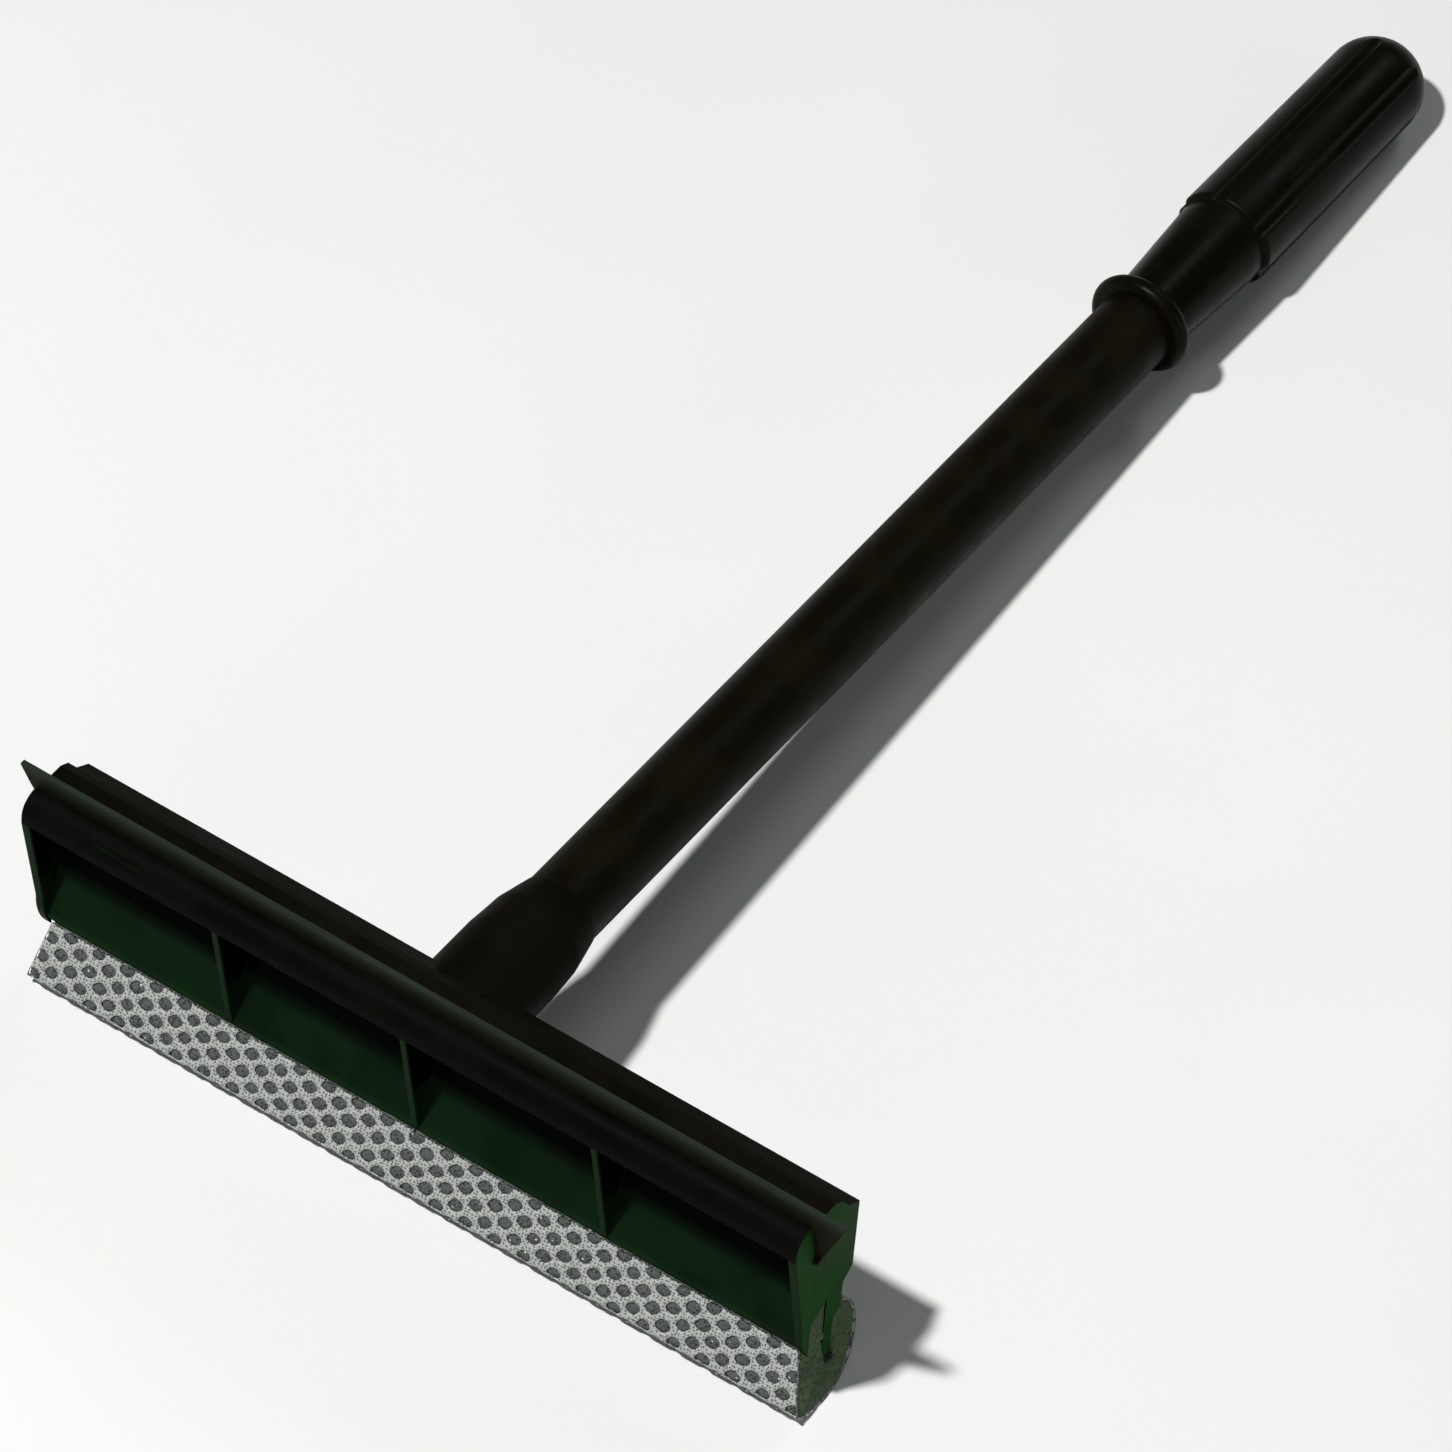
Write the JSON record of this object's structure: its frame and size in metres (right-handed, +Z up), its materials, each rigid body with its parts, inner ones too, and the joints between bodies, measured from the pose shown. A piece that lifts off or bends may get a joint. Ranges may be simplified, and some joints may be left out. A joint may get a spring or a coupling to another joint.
{
  "type": "window cleaning squeegee",
  "caption": "Hand squeegee with a rubber wiping blade above and a netted scrubbing sponge below, on a straight tubular handle with a fluted grip.",
  "frame": {"origin": "middle of the footprint, on the surface the tool lies on", "axes": "+X along the head, +Y from the head towards the grip, +Z up, blade uppermost"},
  "size_m": [0.2156, 0.4025, 0.0673],
  "materials": {
    "head_plastic": "moulded, lightly worn black plastic",
    "blade_rubber": "matte dark rubber, wiping edge polished by use",
    "sponge_foam": "open-cell grey-green foam",
    "net_nylon": "white knitted nylon netting",
    "tube_plastic": "extruded satin black plastic",
    "grip_plastic": "moulded semi-gloss black plastic"
  },
  "bodies": {
    "tool": {"back_body": "head_plastic", "front_frame": "head_plastic", "foam_pad": "sponge_foam", "scrub_net": "net_nylon", "handle_tube": "tube_plastic", "hand_grip": "grip_plastic"},
    "blade": {"rubber_blade": "blade_rubber"}
  },
  "joints": [
    {"name": "blade_slide", "type": "slide", "parent": "tool", "child": "blade", "axis": [1, 0, 0], "range_m": [-0.19, 0.19]}
  ]
}
